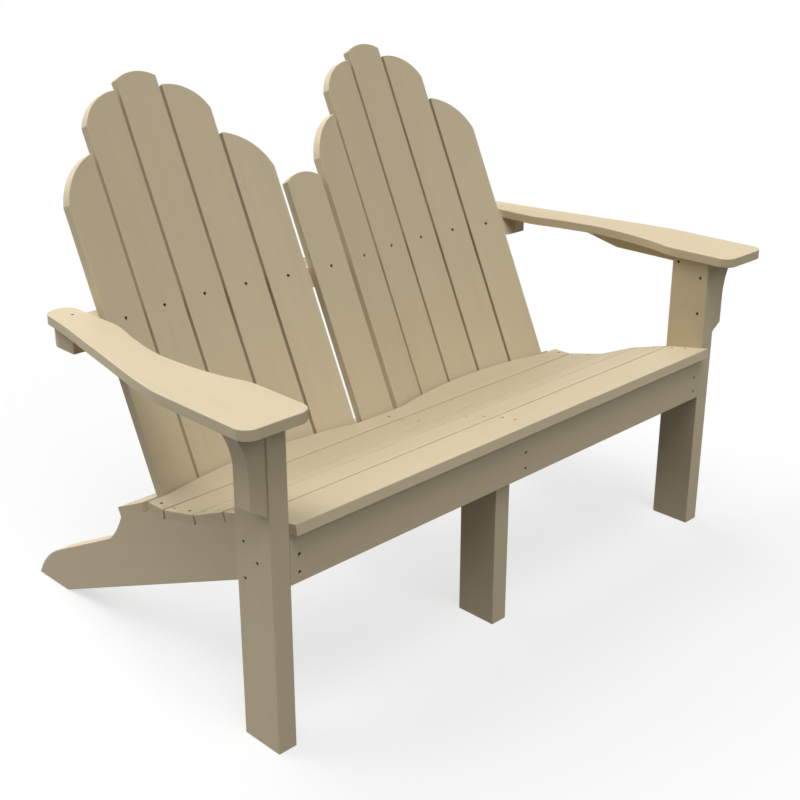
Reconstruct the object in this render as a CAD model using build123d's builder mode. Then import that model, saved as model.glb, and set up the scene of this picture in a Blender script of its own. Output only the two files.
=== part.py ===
from build123d import *
from math import cos, radians, sin, sqrt, tan
import os

# Adirondack loveseat of plain boards, in millimetres. X runs to the right of someone who faces the bench,
# Y runs from its front to its back, Z is up, and the floor is Z = 0.
# A depth is measured to the back from the front faces of the legs, a height from the floor.

# Lumber
board_thickness = 19.0
plank_thickness = 38.0
edge_round = 1.5
plank_round = 1.5

# Legs
leg_height = 607.0
leg_width = 89.0
centre_leg_gap = 6.0

# Seat
seat_front_height = 422.0
seat_overhang = 16.0
front_slat_width = 100.0
seat_slat_width = 89.0
seat_slat_gap = 4.0
rear_slat_ledge = 41.0
seat_tilts = (10.7, 17.0, 23.4, 14.0, 0.0)

# Apron
apron_thickness = 21.0
apron_height = 93.6

# Sloping rails, which end in the rear feet
nose_depth = 81.7
tail_reach = 827.0
floor_cut_length = 107.0
tail_round_length = 85.0
tail_round_height = 84.0
tail_tilt = 27.0
cove_length = 44.0
cove_sag = 4.0

# Back: two fans of slats, curved towards the sitter, with one short slat between them
recline = 25.0
slat_width = 90.6
slat_gap = 6.4
fan_radius = 1008.0
fan_slats = 5
middle_gap = 15.6
middle_slat_shift = 3.0
slat_setback = 4.0
fan_clearance = 0.5
tall_slat_length = 800.0
tall_slat_drop = 13.0
next_slat_length = 768.0
next_slat_drop = 61.0
outer_slat_length = 656.0
outer_slat_bend_drop = 30.0
outer_slat_drop = 90.0
middle_slat_length = 545.0
middle_slat_drop = 15.0
outer_bend_share = 0.586

# Rails behind the back slats
lower_rail_width = 89.0
lower_rail_set = 20.5
upper_rail_width = 89.0
upper_rail_lead = 25.0
upper_rail_corner = 40.0
rail_margin = 0.5
notch_margin = 7.0

# Arms
arm_overhang = 55.0
arm_width = 140.0
arm_inboard = 20.0
arm_rear_overhang = 5.0
arm_front_round = 26.0
arm_rear_round = 26.0
# Shares of the arm's length and width, from its front end and its inner side
arm_inner_start_share = (0.20, 0.05)
arm_inner_shares = (
    (0.265, 0.119),
    (0.359, 0.214),
    (0.465, 0.262),
    (0.55, 0.25),
    (0.611, 0.2),
    (0.686, 0.121),
)
arm_inner_end_share = (0.80, 0.014)
arm_outer_start_share = (0.30, 1.0)
arm_outer_shares = ((0.372, 0.971), (0.445, 0.914), (0.579, 0.784), (0.729, 0.641))
arm_outer_end_share = (0.93, 0.46)
arm_taper_share = 0.15

# Brackets under the arms' front ends, and the strips behind them
bracket_setback = 5.0
bracket_height = 167.0
bracket_width = 33.0
bracket_chamfer = 21.0
bracket_top_width = 67.0
bracket_flare = 89.0
support_height = 25.0
support_length = 221.0
support_taper = 117.0

# Screws, sunk below the face that they are driven into
screw_sink = 2.0
screw_head_height = 3.0
screw_head_diameter = 6.4
screw_shank_diameter = 3.6
screw_tip_length = 6.0
screw_socket_width = 2.4
screw_socket_depth = 1.8
screw_head_round = 0.5
head_clearance = 0.2
shank_clearance = 0.2
tip_clearance = 0.5
long_screw = 60.0
board_screw = 45.0
short_screw = 30.0

# Places of the screws, as shares of the board that they hold
apron_screw_shares = (0.2, 0.542)
leg_screw_shares = ((0.78, 0.732), (0.41, 0.437), (0.78, 0.019))
centre_leg_screw_shares = ((0.25, 0.428), (0.65, 0.428), (0.5, 0.048))
bracket_screw_shares = (0.22, 0.69)
bracket_screw_depth_share = 0.35
support_screw_share = 0.7
arm_support_screw_shares = (0.45, 0.85)
arm_screw_share = 0.2
seat_screw_aside_share = 0.15
seat_screw_shares = ((0.5, 0.83), (0.31, 0.85), (0.31, 0.85), (0.31, 0.85), (0.55,))
upper_screw_share = 0.24
lower_rail_screw_shares = (0.55, 0.85)

# Worked out from the sizes above
lean = radians(recline)
slat_turn = (slat_width + slat_gap) / fan_radius
outer_turn = slat_turn * (fan_slats - 1) / 2
fan_half_width = fan_radius * sin(outer_turn) + slat_width / 2 * cos(outer_turn)
fan_sag = fan_radius * (1 - cos(outer_turn)) + slat_width / 2 * sin(outer_turn)
fan_front = slat_setback + fan_sag
fan_centre = slat_width / 2 + middle_gap + fan_half_width
side_rail_inner = fan_centre + fan_half_width + rail_margin
leg_inner = side_rail_inner + plank_thickness
leg_outer = leg_inner + plank_thickness
clear_width = 2 * leg_inner
leg_front = (arm_overhang - tail_reach) / 2
bracket_back = bracket_setback + plank_thickness
arm_inner = leg_inner - arm_inboard
arm_top = leg_height + board_thickness
head_recess = screw_sink + screw_head_height


def side_plane(x):
    """Upright plane across the bench: local x is depth, local y is height."""
    return Plane(origin=(x, leg_front, 0), x_dir=(0, 1, 0), z_dir=(1, 0, 0))


def level_plane(height):
    """Level plane: local x is the bench's X, local y is depth."""
    return Plane(origin=(0, leg_front, height), x_dir=(1, 0, 0), z_dir=(0, 0, 1))


def front_plane(x, depth, height):
    """Upright plane that faces the front: local x is the bench's X, local y is up."""
    return Plane(origin=(x, leg_front + depth, height), x_dir=(1, 0, 0), z_dir=(0, -1, 0))


def tilted_plane(depth, height, angle):
    """Plane that falls to the back: local x is the bench's X, local y runs down the slope."""
    return Plane(
        origin=(0, leg_front + depth, height),
        x_dir=(1, 0, 0),
        z_dir=(0, sin(radians(angle)), cos(radians(angle))),
    )


def place_on(plane, x, y):
    """A screw's place: a copy of the plane, moved to one of its own points."""
    return Plane(origin=plane.from_local_coords((x, y)), x_dir=plane.x_dir, z_dir=plane.z_dir)


def place_facing(x, depth, height, direction):
    """A screw's place on a face that looks in the direction given."""
    return Plane(origin=(x, leg_front + depth, height), z_dir=direction)


# Front top corner of each seat slat, as depth and height
seat_corners = [(-seat_overhang, seat_front_height)]
for width, angle in zip([front_slat_width] + 3 * [seat_slat_width], seat_tilts):
    step = width + seat_slat_gap
    last_depth, last_height = seat_corners[-1]
    seat_corners.append((last_depth + step * cos(radians(angle)), last_height - step * sin(radians(angle))))

# The back stands on a slope that starts at this edge of the sloping rails
foot_depth = seat_corners[-1][0] + rear_slat_ledge
foot_height = seat_corners[-1][1] - board_thickness
foot_plane = tilted_plane(foot_depth, foot_height, recline)


def under_seat(slat, depth):
    """Height of a seat slat's underside at a depth."""
    corner_depth, corner_height = seat_corners[slat]
    angle = radians(seat_tilts[slat])
    return corner_height - (depth - corner_depth) * tan(angle) - board_thickness / cos(angle)


def under_joint(slat):
    """Point where the undersides of this seat slat and the one before it meet."""
    corner_depth, corner_height = seat_corners[slat]
    middle_angle = radians((seat_tilts[slat] + seat_tilts[slat - 1]) / 2)
    drop = board_thickness / cos(radians((seat_tilts[slat] - seat_tilts[slat - 1]) / 2))
    return corner_depth - drop * sin(middle_angle), corner_height - drop * cos(middle_angle)


def back_depth(set_back, height):
    """Depth of the leaning plane that lies set_back behind the foot edge, at a height."""
    return foot_depth + set_back / cos(lean) + (height - foot_height) * tan(lean)


apron_bottom = under_seat(0, 0) - apron_height
upper_rail_depth = back_depth(slat_setback + board_thickness, leg_height) - upper_rail_lead
upper_rail_rear = upper_rail_depth + upper_rail_width
arm_length = arm_overhang + upper_rail_rear + arm_rear_overhang
rail_centres = (-leg_inner + plank_thickness / 2, 0, leg_inner - plank_thickness / 2)


def slat_face(centre, turn):
    """Front face of a back slat: local x across it, local y up it, from its foot."""
    set_back = fan_front - fan_radius * (1 - cos(turn))
    across = foot_plane.x_dir * cos(turn) - foot_plane.y_dir * sin(turn)
    front = (foot_plane.x_dir * sin(turn) + foot_plane.y_dir * cos(turn)) * -1
    start = foot_plane.from_local_coords((centre + fan_radius * sin(turn), set_back))
    return Plane(origin=start, x_dir=across, z_dir=front)


middle_face = Plane(
    origin=foot_plane.from_local_coords((middle_slat_shift, slat_setback)),
    x_dir=foot_plane.x_dir,
    z_dir=foot_plane.y_dir * -1,
)
fan_turns = [slat_turn * (index - (fan_slats - 1) / 2) for index in range(fan_slats)]
fan_faces = {
    side: [slat_face(centre, turn) for turn in fan_turns]
    for side, centre in (("left", -fan_centre), ("right", fan_centre))
}
back_faces = fan_faces["left"] + [middle_face] + fan_faces["right"]


def up_slat(face, height, thickness):
    """Distance up a back slat whose perpendicular reaches this height at the slat's back."""
    start = face.origin - face.z_dir * thickness
    return (height - start.Z) / cos(lean)


# Places of the screws
upper_screw_height = leg_height - upper_screw_share * plank_thickness
upper_back_places = [
    place_on(face, 0, up_slat(face, upper_screw_height, board_thickness)) for face in back_faces
]
lower_back_places = [place_on(face, 0, board_thickness / 2) for face in back_faces]
seat_planes = [tilted_plane(*corner, angle) for corner, angle in zip(seat_corners, seat_tilts)]
seat_widths = [front_slat_width] + 3 * [seat_slat_width] + [rear_slat_ledge]
seat_screw_lines = [
    x + plank_thickness * seat_screw_aside_share * (1 if x >= 0 else -1) for x in rail_centres
]
seat_places = [
    [place_on(plane, x, share * width) for x in seat_screw_lines for share in shares]
    for plane, width, shares in zip(seat_planes, seat_widths, seat_screw_shares)
]
apron_places = [
    place_facing(x, 0, apron_bottom + share * apron_height, (0, -1, 0))
    for x in rail_centres
    for share in apron_screw_shares
]
centre_leg_places = [
    place_facing(
        -plank_thickness * 1.5,
        apron_thickness + across * leg_width,
        apron_bottom + up * apron_height,
        (-1, 0, 0),
    )
    for across, up in centre_leg_screw_shares
]
lower_rail_top = foot_plane.offset(board_thickness)
lower_rail_places = [
    place_on(lower_rail_top, x, lower_rail_set + share * lower_rail_width)
    for x in rail_centres
    for share in lower_rail_screw_shares
]


def leg_places(side):
    """Screws from a leg's outer face into the sloping rail; side is -1 or 1."""
    return [
        place_facing(side * leg_outer, across * leg_width, apron_bottom + up * apron_height, (side, 0, 0))
        for across, up in leg_screw_shares
    ]


def bracket_places(side):
    """Screws from a leg's inner face into the bracket."""
    depth = bracket_setback + bracket_screw_depth_share * plank_thickness
    return [
        place_facing(side * leg_inner, depth, leg_height - share * bracket_height, (-side, 0, 0))
        for share in bracket_screw_shares
    ]


def support_places(side):
    """The screw from a leg's inner face into the strip under the arm."""
    depth = bracket_back + support_screw_share * (leg_width - bracket_back)
    return [place_facing(side * leg_inner, depth, leg_height - support_height / 2, (-side, 0, 0))]


def arm_support_places(side):
    """Screws up through the strip into the arm."""
    x = side * (leg_outer + plank_thickness / 2)
    return [
        place_facing(x, bracket_back + share * support_length, leg_height - support_height, (0, 0, -1))
        for share in arm_support_screw_shares
    ]


def arm_places(side):
    """The screw down through the arm's rear end into the upper rail."""
    x = side * (arm_inner + arm_screw_share * arm_width)
    return [place_facing(x, upper_rail_depth + upper_rail_width / 2, arm_top, (0, 0, 1))]


def bore_heads(places, length):
    """Bores a board for screws whose heads sit in it."""
    with Locations(*places):
        CounterBoreHole(
            screw_shank_diameter / 2 + shank_clearance,
            screw_head_diameter / 2 + head_clearance,
            head_recess,
            head_recess + length + tip_clearance,
        )


def bore_tips(places, length):
    """Bores a board for the tips of screws that come out of its neighbour."""
    with Locations(*places):
        Hole(screw_shank_diameter / 2 + shank_clearance, head_recess + length + tip_clearance)


def finish(part, name):
    """Names a piece and writes it."""
    part.label = name
    export_step(part, f"parts/{name}.step")


os.makedirs("parts", exist_ok=True)

# Front legs
for side, name in ((-1, "left"), (1, "right")):
    with BuildPart() as front_leg:
        with BuildSketch(level_plane(0)):
            with Locations((side * (leg_inner + plank_thickness / 2), leg_width / 2)):
                Rectangle(plank_thickness, leg_width)
        extrude(amount=leg_height)
        fillet(front_leg.edges(), plank_round)
        bore_heads(leg_places(side), long_screw)
        bore_heads(bracket_places(side), long_screw)
        bore_heads(support_places(side), long_screw)
    finish(front_leg.part, f"front_leg_{name}")

# Centre leg, on the left face of the centre rail
centre_leg_back = apron_thickness + leg_width
with BuildPart() as centre_leg:
    with BuildSketch(level_plane(0)):
        with Locations((-plank_thickness, apron_thickness + leg_width / 2)):
            Rectangle(plank_thickness, leg_width)
    extrude(amount=under_seat(1, centre_leg_back) - centre_leg_gap)
    fillet(centre_leg.edges(), plank_round)
    bore_heads(centre_leg_places, long_screw)
finish(centre_leg.part, "centre_leg")

# Apron, its top edge planed to the first seat slat
with BuildPart() as front_apron:
    with BuildSketch(side_plane(-leg_inner)):
        with BuildLine():
            Polyline(
                (0, apron_bottom),
                (apron_thickness, apron_bottom),
                (apron_thickness, under_seat(0, apron_thickness)),
                (0, under_seat(0, 0)),
                close=True,
            )
        make_face()
    extrude(amount=clear_width)
    fillet(front_apron.edges().group_by(Axis.Z)[0], edge_round)
    bore_heads(apron_places, long_screw)
finish(front_apron.part, "front_apron")

# Sloping rails: the seat's curve on top, a slope for the back, a cove and a rounded foot
nose_top = (apron_thickness, under_seat(0, apron_thickness))
nose_bottom = (apron_thickness, nose_top[1] - nose_depth)
slope_length = lower_rail_set + lower_rail_width
cove_start = (foot_depth + slope_length * cos(lean), foot_height - slope_length * sin(lean))
tail_round_start = (tail_reach - tail_round_length, tail_round_height)
cove_end_depth = cove_start[0] + cove_length
cove_end = (
    cove_end_depth,
    tail_round_height + (tail_round_start[0] - cove_end_depth) * tan(radians(tail_tilt)),
)
rail_names = ("side_rail_left", "centre_rail", "side_rail_right")
for index, (centre, name) in enumerate(zip(rail_centres, rail_names)):
    with BuildPart() as sloping_rail:
        with BuildSketch(side_plane(centre - plank_thickness / 2)):
            with BuildLine():
                Polyline(
                    nose_bottom,
                    nose_top,
                    *(under_joint(slat) for slat in range(1, len(seat_corners))),
                    (foot_depth, foot_height),
                    cove_start,
                )
                SagittaArc(cove_start, cove_end, -cove_sag)
                tail_top = Line(cove_end, tail_round_start)
                TangentArc(tail_round_start, (tail_reach, 0), tangent=tail_top % 1)
                Polyline((tail_reach, 0), (tail_reach - floor_cut_length, 0), nose_bottom)
            make_face()
        extrude(amount=plank_thickness)
        # The edges above the tail stay square, so that the joints there close tight
        for end in (0, -1):
            side_edges = sloping_rail.faces().sort_by(Axis.X)[end].edges()
            low_edges = side_edges.filter_by_position(Axis.Z, -cove_end[1], cove_end[1])
            fillet(low_edges, plank_round)
        bore_tips(apron_places, long_screw)
        for slat_places in seat_places:
            bore_tips(slat_places, board_screw)
        bore_tips(lower_rail_places, board_screw)
        if name == "centre_rail":
            bore_tips(centre_leg_places, long_screw)
        else:
            bore_tips(leg_places(index - 1), long_screw)
    finish(sloping_rail.part, name)

# Seat slats; the fifth is cut at the back to follow the two fans
for slat in range(len(seat_corners) - 1):
    with BuildPart() as seat_slat:
        with BuildSketch(seat_planes[slat]):
            Rectangle(clear_width, seat_widths[slat], align=(Align.CENTER, Align.MIN))
        extrude(amount=-board_thickness)
        top_face = seat_slat.faces().sort_by(Axis(seat_planes[slat].origin, seat_planes[slat].z_dir))[-1]
        fillet(top_face.edges(), edge_round)
        bore_heads(seat_places[slat], board_screw)
    finish(seat_slat.part, f"seat_slat_{slat + 1}")

rear_edge = back_depth(slat_setback, foot_height) - fan_clearance
lobe_edge = back_depth(fan_front, foot_height) - fan_clearance
lobe_half_width = sqrt(fan_radius**2 - (fan_radius - fan_sag) ** 2)
with BuildPart() as rear_seat_slat:
    with BuildSketch(level_plane(foot_height)):
        with BuildLine():
            Polyline(
                (-fan_centre - lobe_half_width, rear_edge),
                (-leg_inner, rear_edge),
                (-leg_inner, seat_corners[-1][0]),
                (leg_inner, seat_corners[-1][0]),
                (leg_inner, rear_edge),
                (fan_centre + lobe_half_width, rear_edge),
            )
            for centre in (-fan_centre, fan_centre):
                ThreePointArc(
                    (centre - lobe_half_width, rear_edge),
                    (centre, lobe_edge),
                    (centre + lobe_half_width, rear_edge),
                )
            Line((-fan_centre + lobe_half_width, rear_edge), (fan_centre - lobe_half_width, rear_edge))
        make_face()
    extrude(amount=board_thickness)
    fillet(rear_seat_slat.faces().sort_by(Axis.Z)[-1].edges(), edge_round)
    bore_heads(seat_places[-1], board_screw)
finish(rear_seat_slat.part, "seat_slat_5")

# Back slats
slat_half = slat_width / 2
slat_ends = {
    "outer": (outer_slat_length, outer_slat_length - outer_slat_drop),
    "next": (next_slat_length, next_slat_length - next_slat_drop),
    "tall": (tall_slat_length - tall_slat_drop, tall_slat_length - tall_slat_drop),
    "middle": (middle_slat_length - middle_slat_drop, middle_slat_length - middle_slat_drop),
}
slat_tops = {
    "outer": ((outer_bend_share - 1 / 2) * slat_width, outer_slat_length - outer_slat_bend_drop),
    "tall": (0, tall_slat_length),
    "middle": (0, middle_slat_length),
}
fan_kinds = ("outer", "next", "tall", "next", "outer")
fan_flips = (-1, -1, 1, 1, 1)
fan_shapes = list(zip(fan_kinds, fan_flips))
back_slats = [(f"back_slat_left_{index + 1}", *shape) for index, shape in enumerate(fan_shapes)]
back_slats.append(("back_slat_middle", "middle", 1))
back_slats += [(f"back_slat_right_{index + 1}", *shape) for index, shape in enumerate(fan_shapes)]
for index, (name, kind, flip) in enumerate(back_slats):
    # The higher side is on the left, or on the right where flip is -1
    high_end, low_end = slat_ends[kind]
    high_corner = (-flip * slat_half, high_end)
    low_corner = (flip * slat_half, low_end)
    with BuildPart() as back_slat:
        with BuildSketch(back_faces[index]):
            with BuildLine():
                if kind == "next":
                    TangentArc(high_corner, low_corner, tangent=(flip, 0))
                else:
                    across, top = slat_tops[kind]
                    ThreePointArc(high_corner, (flip * across, top), low_corner)
                Polyline(low_corner, (low_corner[0], 0), (high_corner[0], 0), high_corner)
            make_face()
        extrude(amount=-board_thickness)
        fillet(back_slat.edges(), edge_round)
        bore_heads([upper_back_places[index], lower_back_places[index]], board_screw)
    finish(back_slat.part, name)

# Pocket that the two fans and the middle slat leave in the rails behind them
pocket_radius = sqrt((fan_radius + board_thickness) ** 2 + slat_half**2) + fan_clearance
pocket_reach = fan_radius + fan_front
with BuildSketch(foot_plane) as pocket:
    with Locations((-fan_centre, fan_front - fan_radius), (fan_centre, fan_front - fan_radius)):
        Circle(pocket_radius)
    with Locations((0, slat_setback + board_thickness)):
        Rectangle(2 * fan_centre, pocket_reach, align=(Align.CENTER, Align.MAX))
    with Locations((0, slat_setback + board_thickness + fan_sag)):
        Rectangle(
            2 * (leg_inner + notch_margin),
            2 * pocket_reach,
            align=(Align.CENTER, Align.CENTER),
            mode=Mode.INTERSECT,
        )

# Lower rail, lying on the slopes of the three sloping rails
with BuildPart() as lower_back_rail:
    with BuildSketch(foot_plane):
        with Locations((0, lower_rail_set)):
            Rectangle(clear_width, lower_rail_width, align=(Align.CENTER, Align.MIN))
    extrude(amount=board_thickness)
    extrude(pocket.sketch, amount=board_thickness, mode=Mode.SUBTRACT)
    bore_heads(lower_rail_places, board_screw)
    bore_tips(lower_back_places, board_screw)
finish(lower_back_rail.part, "lower_back_rail")

# Upper rail, under the arms' rear ends
with BuildPart() as upper_back_rail:
    with BuildSketch(level_plane(leg_height)) as upper_rail_outline:
        with Locations((0, upper_rail_depth)):
            Rectangle(2 * leg_outer, upper_rail_width, align=(Align.CENTER, Align.MIN))
        fillet(upper_rail_outline.vertices().group_by(Axis.Y)[-1], upper_rail_corner)
    extrude(amount=-plank_thickness)
    extrude(pocket.sketch, amount=tall_slat_length, mode=Mode.SUBTRACT)
    bore_tips(upper_back_places, board_screw)
    bore_tips(arm_places(-1) + arm_places(1), board_screw)
finish(upper_back_rail.part, "upper_back_rail")


def arm_point(side, share):
    """A point of an arm's outline from its shares of the arm's length and width."""
    along, across = share
    return side * (arm_inner + across * arm_width), along * arm_length - arm_overhang


# Arms, with the brackets and strips that carry them
for side, name in ((-1, "left"), (1, "right")):
    inner_start = arm_point(side, arm_inner_start_share)
    inner_end = arm_point(side, arm_inner_end_share)
    outer_start = arm_point(side, arm_outer_start_share)
    outer_end = arm_point(side, arm_outer_end_share)
    inner_back = (inner_end[0], upper_rail_rear + arm_rear_overhang)
    outer_back = (outer_end[0] - side * arm_rear_round / 4, inner_back[1])
    with BuildPart() as arm:
        with BuildSketch(level_plane(leg_height)) as arm_outline:
            with BuildLine():
                Polyline(
                    inner_start,
                    arm_point(side, (0, arm_inner_start_share[1])),
                    arm_point(side, (0, arm_outer_start_share[1])),
                    outer_start,
                )
                Spline(
                    outer_start,
                    *(arm_point(side, share) for share in arm_outer_shares),
                    outer_end,
                    tangents=((0, 1), (-side * arm_taper_share, 1)),
                )
                Polyline(outer_end, outer_back, inner_back, inner_end)
                Spline(
                    inner_start,
                    *(arm_point(side, share) for share in arm_inner_shares),
                    inner_end,
                    tangents=((0, 1), (0, 1)),
                )
            make_face()
            fillet(arm_outline.vertices().group_by(Axis.Y)[0], arm_front_round)
            fillet(arm_outline.vertices().group_by(Axis.Y)[-1], arm_rear_round)
        extrude(amount=board_thickness)
        fillet(arm.edges(), edge_round)
        bore_heads(arm_places(side), board_screw)
        bore_tips(arm_support_places(side), short_screw)
    finish(arm.part, f"arm_{name}")

    bracket_x = side * leg_outer
    with BuildPart() as arm_bracket:
        with BuildSketch(front_plane(bracket_x, bracket_setback, leg_height)):
            with BuildLine():
                flare_start = (side * bracket_width, -bracket_flare)
                flare_end = (side * bracket_top_width, 0)
                TangentArc(flare_start, flare_end, tangent=(0, 1))
                Polyline(
                    flare_end,
                    (0, 0),
                    (0, -bracket_height),
                    (side * bracket_width, -bracket_height + bracket_chamfer),
                    flare_start,
                )
            make_face()
        extrude(amount=-plank_thickness)
        bore_tips(bracket_places(side), long_screw)
    finish(arm_bracket.part, f"arm_bracket_{name}")

    with BuildPart() as arm_support:
        with BuildSketch(side_plane(bracket_x)):
            with BuildLine():
                Polyline(
                    (bracket_back, leg_height - support_height),
                    (bracket_back + support_length, leg_height - support_height),
                    (bracket_back + support_length + support_taper, leg_height),
                    (bracket_back, leg_height),
                    close=True,
                )
            make_face()
        extrude(amount=side * plank_thickness)
        bore_tips(support_places(side), long_screw)
        bore_heads(arm_support_places(side), short_screw)
    finish(arm_support.part, f"arm_support_{name}")


def write_screws(places, length, name):
    """Writes one group of screws: round heads with a square socket, plain shanks and points."""
    head_radius = screw_head_diameter / 2
    shank_radius = screw_shank_diameter / 2
    with BuildPart() as screw:
        with BuildSketch(Plane.XZ):
            with BuildLine():
                Polyline(
                    (0, -screw_sink),
                    (head_radius, -screw_sink),
                    (head_radius, -head_recess),
                    (shank_radius, -head_recess),
                    (shank_radius, screw_tip_length - head_recess - length),
                    (0, -head_recess - length),
                    close=True,
                )
            make_face()
        revolve(axis=Axis.Z)
        fillet(screw.edges().group_by(Axis.Z)[-1], screw_head_round)
        with BuildSketch(Plane.XY.offset(-screw_sink)):
            Rectangle(screw_socket_width, screw_socket_width)
        extrude(amount=-screw_socket_depth, mode=Mode.SUBTRACT)
    with BuildPart() as screws:
        with Locations(*places):
            add(screw.part)
    finish(screws.part, name)


# Screws
write_screws(apron_places, long_screw, "apron_screws")
write_screws(leg_places(-1) + leg_places(1), long_screw, "leg_screws")
write_screws(centre_leg_places, long_screw, "centre_leg_screws")
write_screws(bracket_places(-1) + bracket_places(1), long_screw, "bracket_screws")
write_screws(support_places(-1) + support_places(1), long_screw, "support_screws")
write_screws(arm_support_places(-1) + arm_support_places(1), short_screw, "arm_support_screws")
write_screws(arm_places(-1) + arm_places(1), board_screw, "arm_screws")
write_screws([place for places in seat_places for place in places], board_screw, "seat_screws")
write_screws(upper_back_places, board_screw, "upper_back_screws")
write_screws(lower_back_places, board_screw, "lower_back_screws")
write_screws(lower_rail_places, board_screw, "lower_rail_screws")
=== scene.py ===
import math

import bmesh
import bpy
from mathutils import Euler, Matrix, Vector


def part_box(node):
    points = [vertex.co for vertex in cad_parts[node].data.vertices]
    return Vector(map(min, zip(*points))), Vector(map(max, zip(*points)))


bl_info = {
    "name": "Adirondack loveseat",
    "version": (1, 0, 0),
    "blender": (4, 5, 0),
    "location": "3D View > Sidebar > Loveseat",
    "description": "Gives a bench of plastic lumber boards its finish, and stands it in a pale studio",
    "category": "Object",
}

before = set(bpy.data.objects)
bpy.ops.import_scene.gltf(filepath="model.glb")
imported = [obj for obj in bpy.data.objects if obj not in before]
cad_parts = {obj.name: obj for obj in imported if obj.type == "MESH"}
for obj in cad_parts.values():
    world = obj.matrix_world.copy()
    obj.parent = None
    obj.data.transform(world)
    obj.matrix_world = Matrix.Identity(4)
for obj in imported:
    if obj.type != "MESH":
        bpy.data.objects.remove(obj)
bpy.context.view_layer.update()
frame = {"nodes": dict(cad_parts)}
nodes = frame["nodes"]

# Boards by group: the CAD node, the way its grain runs, and the board's face that lies flat
UP = (0.0, 0.0, 1.0)
ACROSS = (1.0, 0.0, 0.0)
DEEP = (0.0, 1.0, 0.0)
RECLINE = math.radians(25.0)
UP_BACK = (0.0, math.sin(RECLINE), math.cos(RECLINE))
DOWN_RAIL = (0.0, 0.913, -0.408)

LEG_BOARDS = {
    "front_leg_left": (UP, ACROSS),
    "front_leg_right": (UP, ACROSS),
    "centre_leg": (UP, ACROSS),
    "front_apron": (ACROSS, DEEP),
}
SEAT_BOARDS = {f"seat_slat_{count}": (ACROSS, UP) for count in range(1, 6)}
BACK_BOARDS = {"back_slat_middle": (UP_BACK, DEEP)}
for count in range(1, 6):
    BACK_BOARDS[f"back_slat_left_{count}"] = (UP_BACK, DEEP)
    BACK_BOARDS[f"back_slat_right_{count}"] = (UP_BACK, DEEP)
RAIL_BOARDS = {
    "side_rail_left": (DOWN_RAIL, ACROSS),
    "centre_rail": (DOWN_RAIL, ACROSS),
    "side_rail_right": (DOWN_RAIL, ACROSS),
    "lower_back_rail": (ACROSS, UP_BACK),
    "upper_back_rail": (ACROSS, UP),
}
ARM_BOARDS = {
    "arm_left": (DEEP, UP),
    "arm_right": (DEEP, UP),
    "arm_bracket_left": (UP, DEEP),
    "arm_bracket_right": (UP, DEEP),
    "arm_support_left": (DEEP, UP),
    "arm_support_right": (DEEP, UP),
}
SCREW_GROUPS = sorted(name for name in nodes if name.endswith("_screws"))

# Noise of the lumber's faces: its scale along the board, across its face and through its thickness, then
# its detail and roughness
STREAKS = ((2.2, 38.0, 38.0), 4.0, 0.6)
CLOUDS = ((5.0, 14.0, 14.0), 3.0, 0.55)
BRUSHED = ((14.0, 620.0, 620.0), 3.0, 0.7)
FLECKS = ((260.0, 700.0, 700.0), 1.0, 0.4)
NOISE_MEAN = 0.5

# Colour of the lumber's faces: the noise where a pattern sets in and where it is full, and the share of the
# other colour at each
PALE_STREAKS = (0.50, 0.74, 0.0, 1.0)
DARK_STREAKS = (0.50, 0.27, 0.0, 1.0)
DARK_CLOUDS = (0.35, 0.72, 0.0, 0.22)
PALE_BRUSHED = (0.42, 0.70, 0.0, 0.16)
DARK_FLECKS = (0.70, 0.78, 0.0, 0.55)

# What the patterns add to the roughness of the faces, and the streaks' share of their relief
BRUSHED_ROUGHER = 0.22
CLOUDS_ROUGHER = -0.08
STREAK_HEIGHT = 0.5

# Scale of the patterns that are the same in all directions
PIT_SCALE = 900.0
BLADE_MARK_SCALE = 130.0
WEAR_SCALE = 45.0
FILM_SCALE = 260.0
SCRATCH_SCALE = 2400.0

# Sawn ends: how squarely a face looks along the board, from no sawn end to a full one, and the noise
# where the pits begin and are full
END_FACING = (0.55, 0.90)
PITS = (0.60, 0.72)

# Edge bands, where a highlight is painted into the colour and the edges are smoother: how near the rounded
# normal is to the real one, from no band to a full band, and the noise that breaks the band up
EDGE_LIKENESS = (0.999, 0.93)
BROKEN_EDGE_BAND = (0.30, 0.62, 0.25, 1.0)
EDGE_SAMPLES = 6

# The pattern of each board lies this far from that of the board before it, and its streaks are stronger
# or weaker by a wave over the boards
PATTERN_STEP = Vector((7.3, 3.1, 5.7))
STREAK_SHARE = 0.55
STREAK_RANGE = 0.3
STREAK_TURN = 2.4

# Sawn ends are rougher than the faces by this much, and the edge bands with their painted highlight are
# smoother
ROUGHER = 0.12

# Film on the screws: the noise where it begins and is full, what it adds to their roughness, and the share
# of the metal that it hides
FILM = (0.36, 0.62)
FILM_ROUGHER = 0.3
FILM_COVER = 0.35

# Relief of the sawn ends, in depths of the grain
PIT_DEPTH = 1.5
BLADE_MARK_HEIGHT = 0.6

# Number of straight sides of the round floor
FLOOR_SIDES = 96

# Lamps, in degrees: the side each one stands on, from +X towards +Y, its height above the floor's
# plane, and its apparent width
LAMPS = {
    "back_light": (107.0, 41.0, 70.0),
    "top_light": (235.0, 68.0, 30.0),
    "front_light": (262.0, 38.0, 40.0),
}
WHITE = (1.0, 1.0, 1.0, 1.0)


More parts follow.
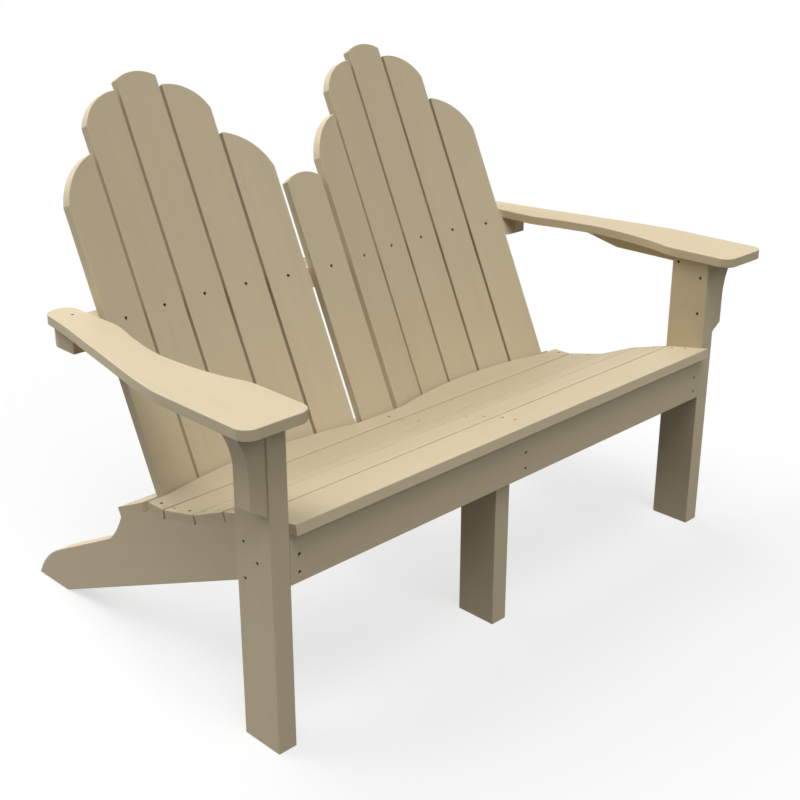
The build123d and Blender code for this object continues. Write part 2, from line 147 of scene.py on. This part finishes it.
class LoveseatLumber(bpy.types.PropertyGroup):
    """Finish of the plastic lumber"""

    tan: bpy.props.FloatVectorProperty(
        name="Tan", description="Main colour of the boards",
        default=(0.60, 0.508, 0.34), min=0.0, max=1.0, size=3, subtype="COLOR",
    )
    pale: bpy.props.FloatVectorProperty(
        name="Pale streak", description="Colour of the lightest streaks along a board",
        default=(0.625, 0.532, 0.359), min=0.0, max=1.0, size=3, subtype="COLOR",
    )
    dark: bpy.props.FloatVectorProperty(
        name="Dark streak", description="Colour of the darkest streaks along a board",
        default=(0.57, 0.48, 0.318), min=0.0, max=1.0, size=3, subtype="COLOR",
    )
    grain_depth: bpy.props.FloatProperty(
        name="Grain depth", description="Height of the brushed grain on the boards",
        default=0.00012, min=0.0, max=0.002, precision=5, unit="LENGTH",
    )
    # Reach of the edge band: painted highlight in its colour, smoother finish in its roughness
    worn_edge: bpy.props.FloatProperty(
        name="Highlighted edge", description="Reach of the polished band along the boards' edges",
        default=0.004, min=0.0005, max=0.02, precision=4, unit="LENGTH",
    )
    # Strength of the painted highlight along the edges
    edge_highlight: bpy.props.FloatProperty(
        name="Highlight", description="Share of the pale colour in the polished band",
        default=0.45, min=0.0, max=1.0, subtype="FACTOR",
    )
    pit_darkening: bpy.props.FloatProperty(
        name="Pit darkening", description="Share of the dark colour in the pits of the sawn ends",
        default=0.5, min=0.0, max=1.0, subtype="FACTOR",
    )
    gloss: bpy.props.FloatProperty(
        name="Gloss", description="Strength of the boards' reflections",
        default=0.25, min=0.0, max=1.0, subtype="FACTOR",
    )
    roughness: bpy.props.FloatProperty(
        name="Roughness", description="Mean roughness of the boards",
        default=0.62, min=0.0, max=1.0, subtype="FACTOR",
    )


class LoveseatScrews(bpy.types.PropertyGroup):
    """Finish of the screws"""

    # Darker than bare steel: part of this colour is painted shade of the recessed screw heads
    steel: bpy.props.FloatVectorProperty(
        name="Steel", description="Colour of the bare steel",
        default=(0.08, 0.068, 0.055), min=0.0, max=1.0, size=3, subtype="COLOR",
    )
    # Dull film, darkened further as painted shade of the recessed screw heads
    tarnish_and_shade: bpy.props.FloatVectorProperty(
        name="Tarnish", description="Colour of the dull film on the steel",
        default=(0.018, 0.014, 0.01), min=0.0, max=1.0, size=3, subtype="COLOR",
    )
    roughness: bpy.props.FloatProperty(
        name="Roughness", description="Roughness of the bare steel",
        default=0.38, min=0.0, max=1.0, subtype="FACTOR",
    )
    scratch_depth: bpy.props.FloatProperty(
        name="Scratch depth", description="Depth of the fine scratches on the steel",
        default=0.00004, min=0.0, max=0.001, precision=5, unit="LENGTH",
    )
    scratch_strength: bpy.props.FloatProperty(
        name="Scratch strength", description="How clearly the fine scratches show",
        default=0.6, min=0.0, max=1.0, subtype="FACTOR",
    )


class LoveseatStudio(bpy.types.PropertyGroup):
    """Floor, lights and camera"""

    floor_width: bpy.props.FloatProperty(
        name="Floor width", description="Width of the round floor",
        default=60.0, min=2.0, unit="LENGTH",
    )
    floor_glow: bpy.props.FloatProperty(
        name="Floor glow", description="Brightness that the floor shows without any lamp",
        default=0.68, min=0.0, max=1.0, subtype="FACTOR",
    )
    floor_tone: bpy.props.FloatVectorProperty(
        name="Floor", description="Share of the lamps' light that the floor shows",
        default=(0.26, 0.26, 0.26), min=0.0, max=1.0, size=3, subtype="COLOR",
    )
    floor_bounce: bpy.props.FloatVectorProperty(
        name="Floor bounce", description="Share of the lamps' light that the floor throws up",
        default=(0.14, 0.14, 0.14), min=0.0, max=1.0, size=3, subtype="COLOR",
    )
    sky: bpy.props.FloatProperty(
        name="Room light", description="Strength of the even light of the room",
        default=0.01, min=0.0, max=10.0,
    )
    back_light: bpy.props.FloatProperty(
        name="Back light", description="Strength of the wide lamp behind, in watts per square metre",
        default=3.2, min=0.0, max=20.0,
    )
    top_light: bpy.props.FloatProperty(
        name="Top light", description="Strength of the lamp overhead, in watts per square metre",
        default=1.38, min=0.0, max=20.0,
    )
    front_light: bpy.props.FloatProperty(
        name="Front light", description="Strength of the weak lamp in front, in watts per square metre",
        default=0.82, min=0.0, max=20.0,
    )
    focal_length: bpy.props.FloatProperty(
        name="Focal length", description="Focal length of the camera in millimetres",
        default=58.92, min=10.0, max=300.0,
    )
    sensor_width: bpy.props.FloatProperty(
        name="Sensor width", description="Width of the camera's sensor in millimetres",
        default=36.0, min=1.0, max=100.0,
    )
    camera_shift: bpy.props.FloatVectorProperty(
        name="Camera shift", description="Shift of the picture to the right and up, in picture widths",
        default=(-0.0065, -0.0059), size=2,
    )
    camera_place: bpy.props.FloatVectorProperty(
        name="Camera place", description="Where the camera stands",
        default=(-1.73139, -1.80683, 1.36776), size=3, subtype="TRANSLATION", unit="LENGTH",
    )
    camera_turn: bpy.props.FloatVectorProperty(
        name="Camera turn", description="Which way the camera looks",
        default=(math.radians(68.10), math.radians(-0.08), math.radians(-44.81)), size=3, subtype="EULER",
    )


def new_group(name, inputs, outputs):
    """An empty shader node group with these sockets, and the ones inside it to read from and to feed."""
    group = bpy.data.node_groups.new(name, "ShaderNodeTree")
    for title, kind, value in inputs:
        socket = group.interface.new_socket(title, in_out="INPUT", socket_type="NodeSocket" + kind)
        if value is not None:
            socket.default_value = value
    for title, kind in outputs:
        group.interface.new_socket(title, in_out="OUTPUT", socket_type="NodeSocket" + kind)
    entry = group.nodes.new("NodeGroupInput")
    leave = group.nodes.new("NodeGroupOutput")
    return group, entry.outputs, leave.inputs


def joined(tree, target, source):
    """Feeds a socket from another socket, or sets it to a value."""
    if isinstance(source, bpy.types.NodeSocket):
        tree.links.new(source, target)
    elif source is not None:
        target.default_value = source


def maths(tree, operation, first, second=None, third=None, clamp=False):
    """A Math node's value."""
    node = tree.nodes.new("ShaderNodeMath")
    node.operation = operation
    node.use_clamp = clamp
    for socket, source in zip(node.inputs, (first, second, third)):
        joined(tree, socket, source)
    return node.outputs[0]


def vector_maths(tree, operation, first, second):
    """A Vector Math node's vector, or its value for a dot product."""
    node = tree.nodes.new("ShaderNodeVectorMath")
    node.operation = operation
    joined(tree, node.inputs[0], first)
    joined(tree, node.inputs[1], second)
    return node.outputs["Value" if operation == "DOT_PRODUCT" else "Vector"]


def noise(tree, vector, scale, detail=2.0, roughness=0.5):
    """A Noise Texture's value."""
    node = tree.nodes.new("ShaderNodeTexNoise")
    node.inputs["Scale"].default_value = scale
    node.inputs["Detail"].default_value = detail
    node.inputs["Roughness"].default_value = roughness
    joined(tree, node.inputs["Vector"], vector)
    return node.outputs["Fac"]


def stretched_noise(tree, vector, scale, detail, roughness):
    """Noise with a scale of its own in each direction."""
    return noise(tree, vector_maths(tree, "MULTIPLY", vector, scale), 1.0, detail, roughness)


def spread(tree, value, low, high, to_low=0.0, to_high=1.0):
    """A value taken smoothly from one range to another."""
    node = tree.nodes.new("ShaderNodeMapRange")
    node.interpolation_type = "SMOOTHSTEP"
    joined(tree, node.inputs["Value"], value)
    for title, number in (("From Min", low), ("From Max", high), ("To Min", to_low), ("To Max", to_high)):
        joined(tree, node.inputs[title], number)
    return node.outputs["Result"]


def blended(tree, factor, first, second):
    """A colour between two colours."""
    node = tree.nodes.new("ShaderNodeMix")
    node.data_type = "RGBA"
    joined(tree, node.inputs["Factor"], factor)
    joined(tree, node.inputs[6], first)
    joined(tree, node.inputs[7], second)
    return node.outputs[2]


def make_lumber_grain():
    """Streaks, brushed grain and flecks that run along a board, whose coordinates have x along it."""
    group, given, out = new_group(
        "lumber_grain",
        [
            ("Vector", "Vector", None),
            ("Tan", "Color", None),
            ("Pale", "Color", None),
            ("Dark", "Color", None),
            ("Roughness", "Float", 0.62),
            ("Streaks", "Float", 1.0),
        ],
        [("Color", "Color"), ("Roughness", "Float"), ("Height", "Float")],
    )
    vector = given["Vector"]
    streaks = stretched_noise(group, vector, *STREAKS)
    clouds = stretched_noise(group, vector, *CLOUDS)
    brushed = stretched_noise(group, vector, *BRUSHED)
    flecks = stretched_noise(group, vector, *FLECKS)
    pale_share = maths(group, "MULTIPLY", spread(group, streaks, *PALE_STREAKS), given["Streaks"])
    dark_share = maths(group, "MULTIPLY", spread(group, streaks, *DARK_STREAKS), given["Streaks"])
    colour = blended(group, pale_share, given["Tan"], given["Pale"])
    colour = blended(group, dark_share, colour, given["Dark"])
    colour = blended(group, spread(group, clouds, *DARK_CLOUDS), colour, given["Dark"])
    colour = blended(group, spread(group, brushed, *PALE_BRUSHED), colour, given["Pale"])
    colour = blended(group, spread(group, flecks, *DARK_FLECKS), colour, given["Dark"])
    joined(group, out["Color"], colour)
    above_mean = maths(group, "SUBTRACT", brushed, NOISE_MEAN)
    uneven = maths(group, "MULTIPLY_ADD", above_mean, BRUSHED_ROUGHER, given["Roughness"])
    roughness = maths(group, "MULTIPLY_ADD", clouds, CLOUDS_ROUGHER, uneven, clamp=True)
    joined(group, out["Roughness"], roughness)
    joined(group, out["Height"], maths(group, "MULTIPLY_ADD", streaks, STREAK_HEIGHT, brushed))


def make_sawn_end():
    """Mask, pits and blade marks of a sawn face, where the surface looks along the board."""
    group, given, out = new_group(
        "sawn_end",
        [("Vector", "Vector", None), ("Normal", "Vector", None), ("Along", "Vector", None)],
        [("Mask", "Float"), ("Pits", "Float"), ("Marks", "Float")],
    )
    facing = maths(group, "ABSOLUTE", vector_maths(group, "DOT_PRODUCT", given["Normal"], given["Along"]))
    joined(group, out["Mask"], spread(group, facing, *END_FACING))
    joined(group, out["Pits"], spread(group, noise(group, given["Vector"], PIT_SCALE), *PITS))
    marks = group.nodes.new("ShaderNodeTexWave")
    marks.bands_direction = "Y"
    marks.inputs["Scale"].default_value = BLADE_MARK_SCALE
    marks.inputs["Distortion"].default_value = 2.5
    marks.inputs["Detail"].default_value = 2.0
    joined(group, marks.inputs["Vector"], given["Vector"])
    joined(group, out["Marks"], marks.outputs["Fac"])


def make_highlight_and_polish_edge():
    """Mask of the bands along a board's edges, where a widely rounded normal leaves the real one: a painted
    highlight and a smoother finish go there.
    """
    group, given, out = new_group(
        "worn_edge",
        [("Vector", "Vector", None), ("Reach", "Float", 0.004)],
        [("Mask", "Float")],
    )
    rounded = group.nodes.new("ShaderNodeBevel")
    rounded.samples = EDGE_SAMPLES
    joined(group, rounded.inputs["Radius"], given["Reach"])
    surface = group.nodes.new("ShaderNodeNewGeometry")
    likeness = vector_maths(group, "DOT_PRODUCT", rounded.outputs["Normal"], surface.outputs["Normal"])
    edge_highlight = spread(group, likeness, *EDGE_LIKENESS)
    broken = spread(group, noise(group, given["Vector"], WEAR_SCALE, 3.0), *BROKEN_EDGE_BAND)
    joined(group, out["Mask"], maths(group, "MULTIPLY", edge_highlight, broken, clamp=True))


def effect(tree, name, vector):
    """One of the shared effects, on these coordinates."""
    node = tree.nodes.new("ShaderNodeGroup")
    node.node_tree = bpy.data.node_groups[name]
    joined(tree, node.inputs["Vector"], vector)
    return node


def bumped(tree, height, depth, strength=1.0):
    """The normal of a fine relief with this depth."""
    node = tree.nodes.new("ShaderNodeBump")
    node.inputs["Strength"].default_value = strength
    node.inputs["Distance"].default_value = depth
    joined(tree, node.inputs["Height"], height)
    return node.outputs["Normal"]


def board_turn(along, flat):
    """The turn of a board whose grain runs along one direction and whose flat face looks along another."""
    along = Vector(along).normalized()
    flat = Vector(flat)
    flat = (flat - flat.dot(along) * along).normalized()
    return Matrix((along, flat.cross(along), flat)).transposed().to_euler()


def lumber_material(name, along, flat, number):
    """The lumber's material on one board, its pattern turned along the board and moved for each one."""
    finish = bpy.context.scene.loveseat_lumber
    low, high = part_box(name)
    material = bpy.data.materials.new(f"lumber_{name}")
    material.use_nodes = True
    tree = material.node_tree
    surface = tree.nodes["Principled BSDF"]
    place = tree.nodes.new("ShaderNodeTexCoord")
    onto_board = tree.nodes.new("ShaderNodeMapping")
    onto_board.vector_type = "TEXTURE"
    onto_board.inputs["Location"].default_value = (low + high) / 2 + PATTERN_STEP * number
    onto_board.inputs["Rotation"].default_value = board_turn(along, flat)
    tree.links.new(place.outputs["Object"], onto_board.inputs["Vector"])
    vector = onto_board.outputs["Vector"]

    grain = effect(tree, "lumber_grain", vector)
    for title, colour in (("Tan", finish.tan), ("Pale", finish.pale), ("Dark", finish.dark)):
        grain.inputs[title].default_value = (*colour, 1.0)
    grain.inputs["Roughness"].default_value = finish.roughness
    grain.inputs["Streaks"].default_value = STREAK_SHARE + STREAK_RANGE * math.sin(number * STREAK_TURN)

    sawn = effect(tree, "sawn_end", vector)
    joined(tree, sawn.inputs["Normal"], place.outputs["Normal"])
    sawn.inputs["Along"].default_value = Vector(along).normalized()

    highlight_and_polish = effect(tree, "worn_edge", vector)
    highlight_and_polish.inputs["Reach"].default_value = finish.worn_edge

    pits = maths(tree, "MULTIPLY", sawn.outputs["Mask"], sawn.outputs["Pits"])
    # Painted highlight: pale colour along the rounded edges, for the light that the rounding catches
    highlight = maths(tree, "MULTIPLY", highlight_and_polish.outputs["Mask"], finish.edge_highlight)
    colour = blended(tree, highlight, grain.outputs["Color"], (*finish.pale, 1.0))
    # Darker colour in the pits of the sawn ends
    colour = blended(tree, maths(tree, "MULTIPLY", pits, finish.pit_darkening), colour, (*finish.dark, 1.0))
    joined(tree, surface.inputs["Base Color"], colour)
    roughness = maths(tree, "MULTIPLY_ADD", highlight_and_polish.outputs["Mask"], -ROUGHER, grain.outputs["Roughness"])
    roughness = maths(tree, "MULTIPLY_ADD", sawn.outputs["Mask"], ROUGHER, roughness)
    joined(tree, surface.inputs["Roughness"], roughness)
    smooth_share = maths(tree, "SUBTRACT", 1.0, sawn.outputs["Mask"])
    height = maths(tree, "MULTIPLY", grain.outputs["Height"], smooth_share)
    pit_height = maths(tree, "MULTIPLY", pits, -PIT_DEPTH)
    cut_height = maths(tree, "MULTIPLY_ADD", sawn.outputs["Marks"], BLADE_MARK_HEIGHT, pit_height)
    height = maths(tree, "MULTIPLY_ADD", cut_height, sawn.outputs["Mask"], height)
    joined(tree, surface.inputs["Normal"], bumped(tree, height, finish.grain_depth))
    surface.inputs["Specular IOR Level"].default_value = finish.gloss
    return material


def screw_material():
    """Dull steel with a dark film, for the screws; both colours are darker than bare steel, as painted
    shade of the screw heads' recesses.
    """
    finish = bpy.context.scene.loveseat_screws
    material = bpy.data.materials.new("screw_steel")
    material.use_nodes = True
    tree = material.node_tree
    surface = tree.nodes["Principled BSDF"]
    place = tree.nodes.new("ShaderNodeTexCoord")
    film = spread(tree, noise(tree, place.outputs["Object"], FILM_SCALE, 4.0, 0.6), *FILM)
    scratches = noise(tree, place.outputs["Object"], SCRATCH_SCALE)
    # Painted shade: both colours are darkened for the shade in the screw heads' recesses
    colour = blended(tree, film, (*finish.steel, 1.0), (*finish.tarnish_and_shade, 1.0))
    joined(tree, surface.inputs["Base Color"], colour)
    roughness = maths(tree, "MULTIPLY_ADD", film, FILM_ROUGHER, finish.roughness)
    joined(tree, surface.inputs["Roughness"], roughness)
    joined(tree, surface.inputs["Metallic"], maths(tree, "MULTIPLY_ADD", film, -FILM_COVER, 1.0))
    relief = bumped(tree, scratches, finish.scratch_depth, finish.scratch_strength)
    joined(tree, surface.inputs["Normal"], relief)
    return material


def give_finish(name, material):
    """Puts a material on the whole of a CAD node."""
    mesh = nodes[name].data
    mesh.materials.clear()
    mesh.materials.append(material)


def finish_boards(boards):
    """Gives each board of a group the lumber's finish, with a pattern of its own."""
    names = sorted(nodes)
    for name, (along, flat) in boards.items():
        give_finish(name, lumber_material(name, along, flat, names.index(name) + 1))


def need_frame():
    """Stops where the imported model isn't there."""
    if not nodes:
        raise RuntimeError("The packed model isn't loaded")


class LOVESEAT_OT_effects(bpy.types.Operator):
    """Makes the effects that the boards share"""

    bl_idname = "loveseat.effects"
    bl_label = "Shared effects"

    def execute(self, context):
        make_lumber_grain()
        make_sawn_end()
        make_highlight_and_polish_edge()
        return {"FINISHED"}


class LOVESEAT_OT_legs(bpy.types.Operator):
    """Finishes the three legs and the apron"""

    bl_idname = "loveseat.legs"
    bl_label = "Legs and apron"

    def execute(self, context):
        need_frame()
        finish_boards(LEG_BOARDS)
        return {"FINISHED"}


class LOVESEAT_OT_seat(bpy.types.Operator):
    """Finishes the five seat slats"""

    bl_idname = "loveseat.seat"
    bl_label = "Seat slats"

    def execute(self, context):
        need_frame()
        finish_boards(SEAT_BOARDS)
        return {"FINISHED"}


class LOVESEAT_OT_back(bpy.types.Operator):
    """Finishes the eleven back slats"""

    bl_idname = "loveseat.back"
    bl_label = "Back slats"

    def execute(self, context):
        need_frame()
        finish_boards(BACK_BOARDS)
        return {"FINISHED"}


class LOVESEAT_OT_rails(bpy.types.Operator):
    """Finishes the sloping rails and the two rails behind the back"""

    bl_idname = "loveseat.rails"
    bl_label = "Rails"

    def execute(self, context):
        need_frame()
        finish_boards(RAIL_BOARDS)
        return {"FINISHED"}


class LOVESEAT_OT_arms(bpy.types.Operator):
    """Finishes the arms, with the brackets and strips under them"""

    bl_idname = "loveseat.arms"
    bl_label = "Arms"

    def execute(self, context):
        need_frame()
        finish_boards(ARM_BOARDS)
        return {"FINISHED"}


class LOVESEAT_OT_screws(bpy.types.Operator):
    """Finishes all the screws"""

    bl_idname = "loveseat.screws"
    bl_label = "Screws"

    def execute(self, context):
        need_frame()
        steel = screw_material()
        for name in SCREW_GROUPS:
            give_finish(name, steel)
        return {"FINISHED"}


def shown_share(tree):
    """One where the camera looks, also by a reflection or through glass, and zero for bounced light."""
    rays = tree.nodes.new("ShaderNodeLightPath").outputs
    shown = maths(tree, "MAXIMUM", rays["Is Camera Ray"], rays["Is Glossy Ray"])
    return maths(tree, "MAXIMUM", shown, rays["Is Transmission Ray"])


def shown_as(tree, end, unseen, seen):
    """Ends a material or the world with one shader for bounced light and another for what is seen."""
    mix = tree.nodes.new("ShaderNodeMixShader")
    joined(tree, mix.inputs[0], shown_share(tree))
    joined(tree, mix.inputs[1], unseen.outputs[0])
    joined(tree, mix.inputs[2], seen.outputs[0])
    joined(tree, tree.nodes[end].inputs["Surface"], mix.outputs[0])


def floor_material(studio):
    """Pale matt floor, near white in the picture, and duller for the light that it throws up."""
    material = bpy.data.materials.new("studio_floor")
    material.use_nodes = True
    tree = material.node_tree
    tree.nodes.remove(tree.nodes["Principled BSDF"])
    matt = tree.nodes.new("ShaderNodeBsdfDiffuse")
    matt.inputs["Color"].default_value = (*studio.floor_tone, 1.0)
    glowing = tree.nodes.new("ShaderNodeEmission")
    glowing.inputs["Strength"].default_value = studio.floor_glow
    seen = tree.nodes.new("ShaderNodeAddShader")
    joined(tree, seen.inputs[0], matt.outputs[0])
    joined(tree, seen.inputs[1], glowing.outputs[0])
    unseen = tree.nodes.new("ShaderNodeBsdfDiffuse")
    unseen.inputs["Color"].default_value = (*studio.floor_bounce, 1.0)
    shown_as(tree, "Material Output", unseen, seen)
    return material


def light_room(strength):
    """An even room light, shown as plain white behind the object."""
    world = bpy.data.worlds.new("studio_room")
    world.use_nodes = True
    tree = world.node_tree
    lit = tree.nodes["Background"]
    lit.inputs["Color"].default_value = WHITE
    lit.inputs["Strength"].default_value = strength
    white = tree.nodes.new("ShaderNodeBackground")
    white.inputs["Color"].default_value = WHITE
    white.inputs["Strength"].default_value = 1.0
    shown_as(tree, "World Output", lit, white)
    bpy.context.scene.world = world


class LOVESEAT_OT_studio(bpy.types.Operator):
    """Makes the floor, the lights and the camera"""

    bl_idname = "loveseat.studio"
    bl_label = "Studio"

    def execute(self, context):
        studio = context.scene.loveseat_studio
        mesh = bpy.data.meshes.new("studio_floor")
        shape = bmesh.new()
        bmesh.ops.create_circle(shape, cap_ends=True, segments=FLOOR_SIDES, radius=studio.floor_width / 2)
        shape.to_mesh(mesh)
        shape.free()
        mesh.materials.append(floor_material(studio))
        floor = bpy.data.objects.new("studio_floor", mesh)
        context.scene.collection.objects.link(floor)

        light_room(studio.sky)
        for title, angles in LAMPS.items():
            side, rise, width = (math.radians(angle) for angle in angles)
            lamp = bpy.data.lights.new(title, "SUN")
            lamp.energy = getattr(studio, title)
            lamp.angle = width
            lamp_object = bpy.data.objects.new(title, lamp)
            level = math.cos(rise)
            place = Vector((math.cos(side) * level, math.sin(side) * level, math.sin(rise)))
            lamp_object.rotation_euler = place.to_track_quat("Z", "Y").to_euler()
            context.scene.collection.objects.link(lamp_object)

        camera = bpy.data.cameras.new("camera")
        camera.lens = studio.focal_length
        camera.sensor_width = studio.sensor_width
        camera.shift_x, camera.shift_y = studio.camera_shift
        camera.dof.use_dof = False
        camera_object = bpy.data.objects.new("camera", camera)
        camera_object.location = studio.camera_place
        camera_object.rotation_euler = Euler(studio.camera_turn)
        context.scene.collection.objects.link(camera_object)
        context.scene.camera = camera_object
        context.scene.view_settings.view_transform = "Standard"
        return {"FINISHED"}


PIECES = (
    LOVESEAT_OT_effects,
    LOVESEAT_OT_legs,
    LOVESEAT_OT_seat,
    LOVESEAT_OT_back,
    LOVESEAT_OT_rails,
    LOVESEAT_OT_arms,
    LOVESEAT_OT_screws,
    LOVESEAT_OT_studio,
)
SETTINGS = {
    "loveseat_lumber": LoveseatLumber,
    "loveseat_screws": LoveseatScrews,
    "loveseat_studio": LoveseatStudio,
}


class LOVESEAT_PT_panel(bpy.types.Panel):
    """Lists the bench's settings and pieces"""

    bl_idname = "LOVESEAT_PT_panel"
    bl_label = "Adirondack loveseat"
    bl_space_type = "VIEW_3D"
    bl_region_type = "UI"
    bl_category = "Loveseat"

    def draw(self, context):
        for title in SETTINGS:
            settings = getattr(context.scene, title)
            column = self.layout.column(align=True)
            for size in settings.bl_rna.properties:
                if size.identifier not in ("rna_type", "name"):
                    column.prop(settings, size.identifier)
        for piece in PIECES:
            self.layout.operator(piece.bl_idname)


def register():
    for title, group in SETTINGS.items():
        bpy.utils.register_class(group)
        setattr(bpy.types.Scene, title, bpy.props.PointerProperty(type=group))
    for piece in PIECES:
        bpy.utils.register_class(piece)
    bpy.utils.register_class(LOVESEAT_PT_panel)


def unregister():
    bpy.utils.unregister_class(LOVESEAT_PT_panel)
    for piece in reversed(PIECES):
        bpy.utils.unregister_class(piece)
    for title, group in SETTINGS.items():
        delattr(bpy.types.Scene, title)
        bpy.utils.unregister_class(group)


def main():
    """Registers the add-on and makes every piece."""
    register()
    bpy.ops.loveseat.effects()
    bpy.ops.loveseat.studio()
    bpy.ops.loveseat.legs()
    bpy.ops.loveseat.seat()
    bpy.ops.loveseat.back()
    bpy.ops.loveseat.rails()
    bpy.ops.loveseat.arms()
    bpy.ops.loveseat.screws()


if __name__ == "__main__":
    main()
